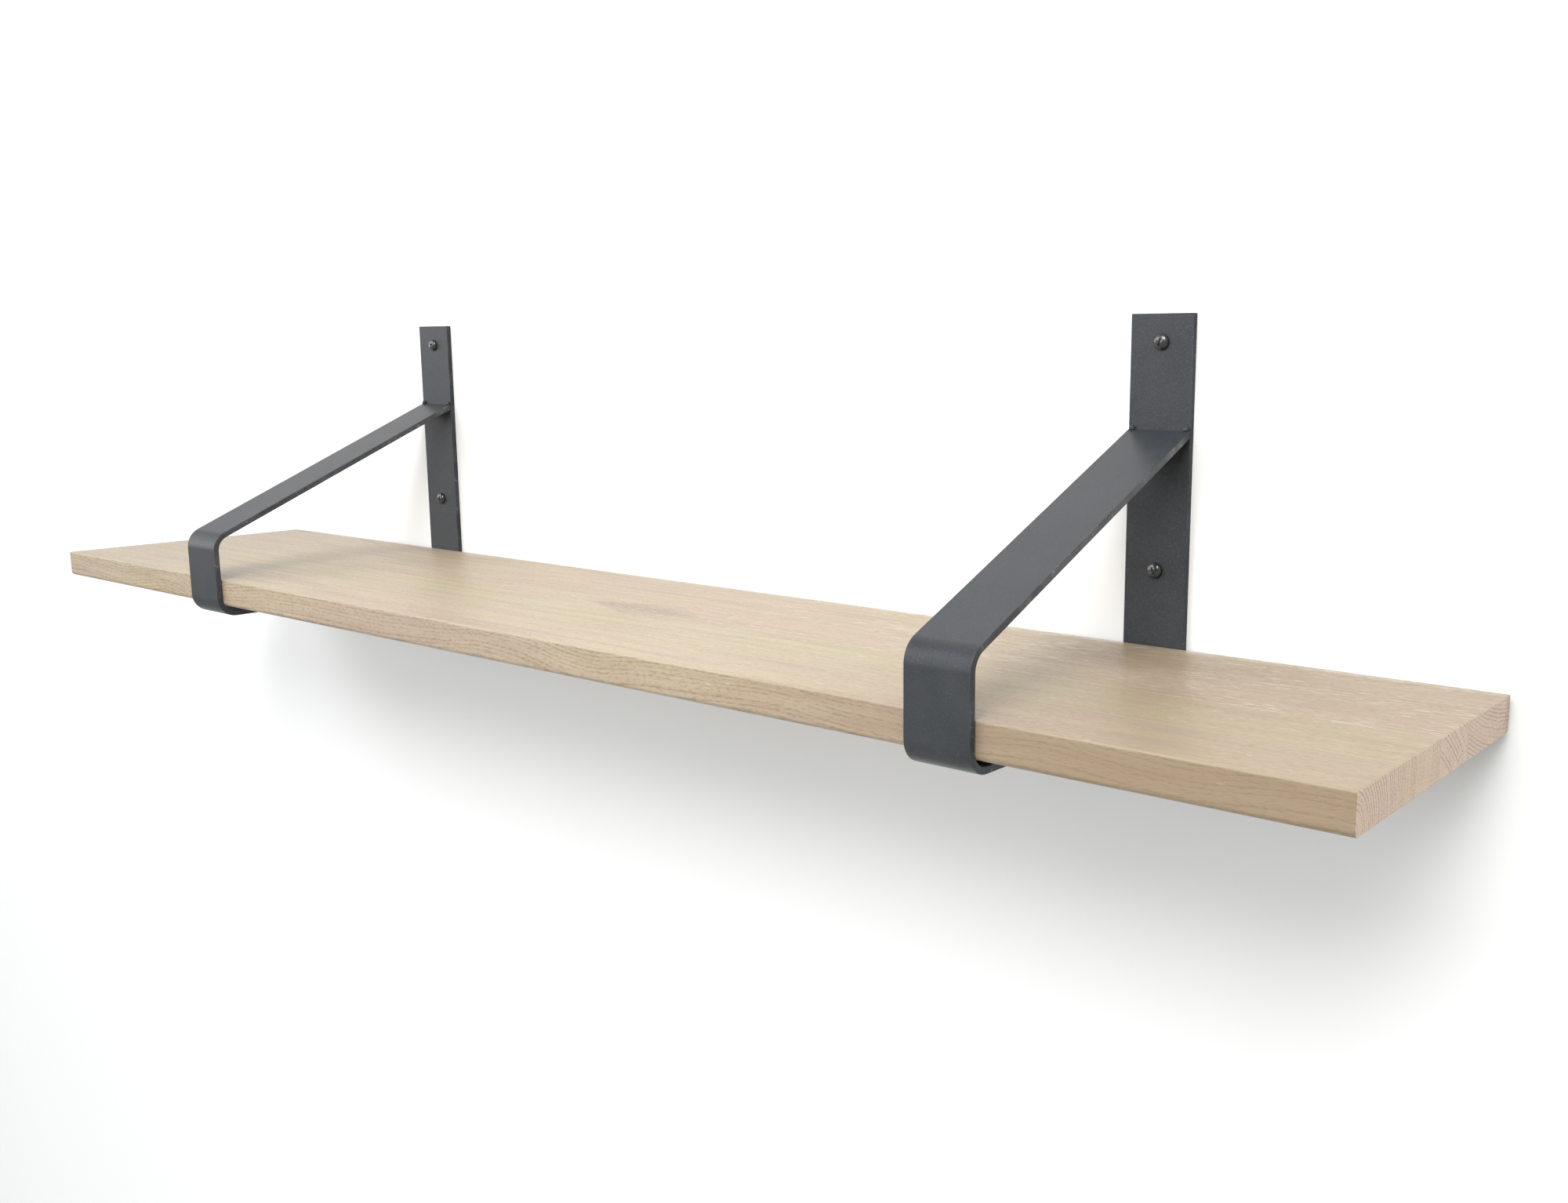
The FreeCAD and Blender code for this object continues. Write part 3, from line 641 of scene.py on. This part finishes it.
def bead(low, high, seed):
    """A fillet weld in the corner under the diagonal: a crowned strip with the ripples of the arc."""
    weld = bmesh.new()
    front = Vector((0, low.y, high.z))
    corner = Vector((0, high.y, high.z))
    down = Vector((0, high.y, low.z))
    rings = []
    for n in range(BEAD_ALONG + 1):
        share = n / BEAD_ALONG
        x = low.x + (high.x - low.x) * share
        end = min(1.0, min(share, 1 - share) * BEAD_ALONG / BEAD_END) ** 0.5
        wave = noise.noise(Vector((share * 30, seed, 0))) * 0.10
        ripple = abs(math.sin(share * math.pi * RIPPLES + wave * 12)) * RIPPLE_HEIGHT
        ring = []
        for m in range(BEAD_AROUND + 1):
            part = m / BEAD_AROUND
            arc = (1 - part) * front + part * down - corner
            crown = math.sin(part * math.pi)
            grain = noise.noise(Vector((x / MM * 0.8, part * 3, seed))) * GRAIN_HEIGHT
            reach = arc.length * (0.55 + 0.45 * end) * (1 + wave)
            reach += crown * (CROWN_HEIGHT * end + ripple + grain) - (1 - crown) * EDGE_SINK
            place = corner + arc.normalized() * reach
            ring.append(weld.verts.new((x, min(place.y, corner.y), min(place.z, corner.z))))
        ring.append(weld.verts.new((x, corner.y, corner.z)))
        rings.append(ring)
    skin(weld, rings)
    crease(weld, 50)
    return weld


def blob(low, high, seed):
    """A small tack weld: a lump that has run into both pieces of steel."""
    tack = bmesh.new()
    bmesh.ops.create_icosphere(tack, subdivisions=4, radius=1.0)
    middle, half = (low + high) / 2, (high - low) / 2
    for vert in tack.verts:
        way = vert.co.normalized()
        broad, fine = noise.noise(way * 1.6 + Vector((seed, 0, 0))), noise.noise(way * 4.5)
        lump = 1 + 0.16 * broad + 0.06 * fine
        full = 1.05 + 0.15 * max(0.0, way.y) + 0.15 * max(0.0, -way.z)
        vert.co = middle + Vector(way[n] * half[n] * lump * full for n in range(3))
    crease(tack, 60)
    return tack


# ---------------------------------------------------------------- the shelf

STAVES = dict(
    front_stave=dict(
        log=dict(pith=(-31, -14), wander=(9, 15), run=150, ring=2.3),
        tint=(1.01, 0.985, 0.965), seed=2.0, fleck=0.72, joint=(1, 0.35, LIGHT_LINE),
    ),
    second_stave=dict(
        log=dict(pith=(-101, 3), wander=(9, 8), run=300, ring=1.9),
        tint=(0.985, 0.985, 0.915), seed=31.0, fleck=0.68, joint=(1, 0.40, LIGHT_LINE),
    ),
    third_stave=dict(
        log=dict(pith=(-58, -69), wander=(9, 12), run=340, ring=2.4),
        tint=(1.0, 0.955, 0.950), seed=57.0, fleck=0.60, joint=(1, 0.30, DARK_LINE),
    ),
    back_stave=dict(
        log=dict(pith=(38, 161), wander=(12, 16), run=380, ring=2.1),
        tint=(0.970, 0.938, 0.925), seed=83.0, fleck=0.60, joint=(0, 0.40, DARK_LINE),
    ),
)
for stave, looks in STAVES.items():
    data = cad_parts[stave].data
    data.materials.clear()
    data.materials.append(oak(stave, **looks))

steel, screw = coating(), black_screw()
for side in SIDES:
    strap = side + "_bracket_strap"
    keep_flats_flat(add_piece(strap + "_eased", eased_copy(strap), steel, "bracket_coating", strap))
    weld = side + "_bracket_root_weld"
    add_piece(weld + "_bead", bead(*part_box(weld), len(side)), steel, "bracket_coating", weld)
    for end in SIDES:
        tack = side + "_bracket_" + end + "_tack"
        lump = blob(*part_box(tack), len(side + end))
        add_piece(tack + "_lump", lump, steel, "bracket_coating", tack)

SCREWS = (
    ("upper_wall_screw", WALL_SCREW), ("lower_wall_screw", WALL_SCREW),
    ("front_board_screw", BOARD_SCREW), ("back_board_screw", BOARD_SCREW),
)
spin = FIRST_SPIN
for side in SIDES:
    for kind, dimensions in SCREWS:
        name = side + "_" + kind
        shape = make_screw(name, spin, **dimensions)
        add_piece(name + "_threaded", shape, screw, "black_screw", name)
        spin += SPIN_STEP


# ---------------------------------------------------------------- stage

WALL_Y = -0.3 * MM
WALL_REACH, FLOOR_REACH, FLOOR_Z, TOP_Z = 7.0, 45.0, -1.75, 3.2
CLEAR_WITHIN = 12 * MM


def sheet(name, corners, material):
    data = bpy.data.meshes.new(name)
    data.from_pydata(corners, [], [(0, 1, 2, 3)])
    data.materials.append(material)
    plane = bpy.data.objects.new(name, data)
    bpy.context.scene.collection.objects.link(plane)


def see_through_from_behind(material):
    """The wall shows only from the room. From behind, and in the gap behind the board, light passes."""
    tree = material.node_tree
    output = tree.nodes["Material Output"]
    facing = tree.nodes.new("ShaderNodeNewGeometry")
    path = tree.nodes.new("ShaderNodeLightPath")
    near = Value(tree, path.outputs["Ray Length"]).math("LESS_THAN", CLEAR_WITHIN)
    clear = tree.nodes.new("ShaderNodeBsdfTransparent")
    mixer = tree.nodes.new("ShaderNodeMixShader")
    feed(mixer.inputs[0], Value(tree, facing.outputs["Backfacing"]).math("MAXIMUM", near))
    tree.links.new(tree.nodes["Principled BSDF"].outputs[0], mixer.inputs[1])
    tree.links.new(clear.outputs[0], mixer.inputs[2])
    tree.links.new(mixer.outputs[0], output.inputs[0])


wall_paint = plaster("wall_paint", (0.902, 0.913, 0.908))
see_through_from_behind(wall_paint)
wall_outline = ((-WALL_REACH, FLOOR_Z), (WALL_REACH, FLOOR_Z), (WALL_REACH, TOP_Z), (-WALL_REACH, TOP_Z))
sheet("wall", [(x, WALL_Y, z) for x, z in wall_outline], wall_paint)
floor_outline = ((-1, -1), (1, -1), (1, 1), (-1, 1))
floor_corners = [(x * FLOOR_REACH, y * FLOOR_REACH, FLOOR_Z) for x, y in floor_outline]
sheet("floor", floor_corners, plaster("floor_paint", (0.59, 0.59, 0.58)))


# ---------------------------------------------------------------- light and camera

def soft_light(name, azimuth, elevation, distance, size, power, spread, colour):
    """A light that looks at the shelf from azimuth degrees to the right of straight ahead."""
    target = (Vector(cad_bounds[0]) + Vector(cad_bounds[1])) / 2
    turn, rise = math.radians(azimuth), math.radians(elevation)
    way = Vector((math.cos(rise) * math.sin(turn), -math.cos(rise) * math.cos(turn), math.sin(rise)))
    data = bpy.data.lights.new(name, "AREA")
    data.shape = "RECTANGLE"
    data.size, data.size_y = size
    data.energy = power
    data.spread = math.radians(spread)
    data.color = colour
    lamp = bpy.data.objects.new(name, data)
    lamp.location = target + way * distance
    lamp.rotation_euler = (target - lamp.location).to_track_quat("-Z", "Y").to_euler()
    lamp.visible_camera = False
    bpy.context.scene.collection.objects.link(lamp)


def room_light():
    """Light from all round: a band above the horizon, stronger on the left, and a dim ceiling."""
    world = bpy.data.worlds.new("room")
    world.use_nodes = True
    bpy.context.scene.world = world
    tree = world.node_tree
    coordinates = tree.nodes.new("ShaderNodeTexCoord")
    split = tree.nodes.new("ShaderNodeSeparateXYZ")
    tree.links.new(coordinates.outputs["Generated"], split.inputs[0])
    height = Value(tree, split.outputs["Z"])
    sideways = Value(tree, split.outputs["X"])
    band = height.step(-0.06, 0.03) * height.step(0.45, 0.10)
    ceiling = height.step(0.05, 0.45)
    strength = band * (sideways.step(0.30, -0.40) * 2.60 + 0.45) + ceiling * 0.55 + 0.08
    background = tree.nodes["Background"]
    feed(background.inputs["Strength"], strength)
    background.inputs["Color"].default_value = (0.985, 0.99, 1.0, 1.0)


soft_light(
    "key", azimuth=25, elevation=38, distance=2.4, size=(1.5, 1.2), power=28.0, spread=130,
    colour=(1.0, 0.99, 0.97),
)
soft_light(
    "window", azimuth=-42, elevation=31, distance=2.5, size=(1.9, 0.9), power=17.0, spread=180,
    colour=(0.98, 0.99, 1.0),
)
room_light()

CAMERA_PLACE = (0.75081, -0.75875, 0.05883)
CAMERA_TURN_DEGREES = (80.129, -0.0673, 37.5387)
SENSOR_MM, LENS_MM = 36.0, 33.304

view = bpy.data.cameras.new("camera")
view.sensor_fit = "HORIZONTAL"
view.sensor_width = SENSOR_MM
view.lens = LENS_MM
view.shift_x, view.shift_y = -0.08246, 0.003325
view.clip_start, view.clip_end = 0.01, 50.0
camera = bpy.data.objects.new("camera", view)
camera.location = CAMERA_PLACE
camera.rotation_euler = [math.radians(turn) for turn in CAMERA_TURN_DEGREES]
bpy.context.scene.collection.objects.link(camera)
bpy.context.scene.camera = camera
bpy.context.scene.view_settings.view_transform = "Standard"
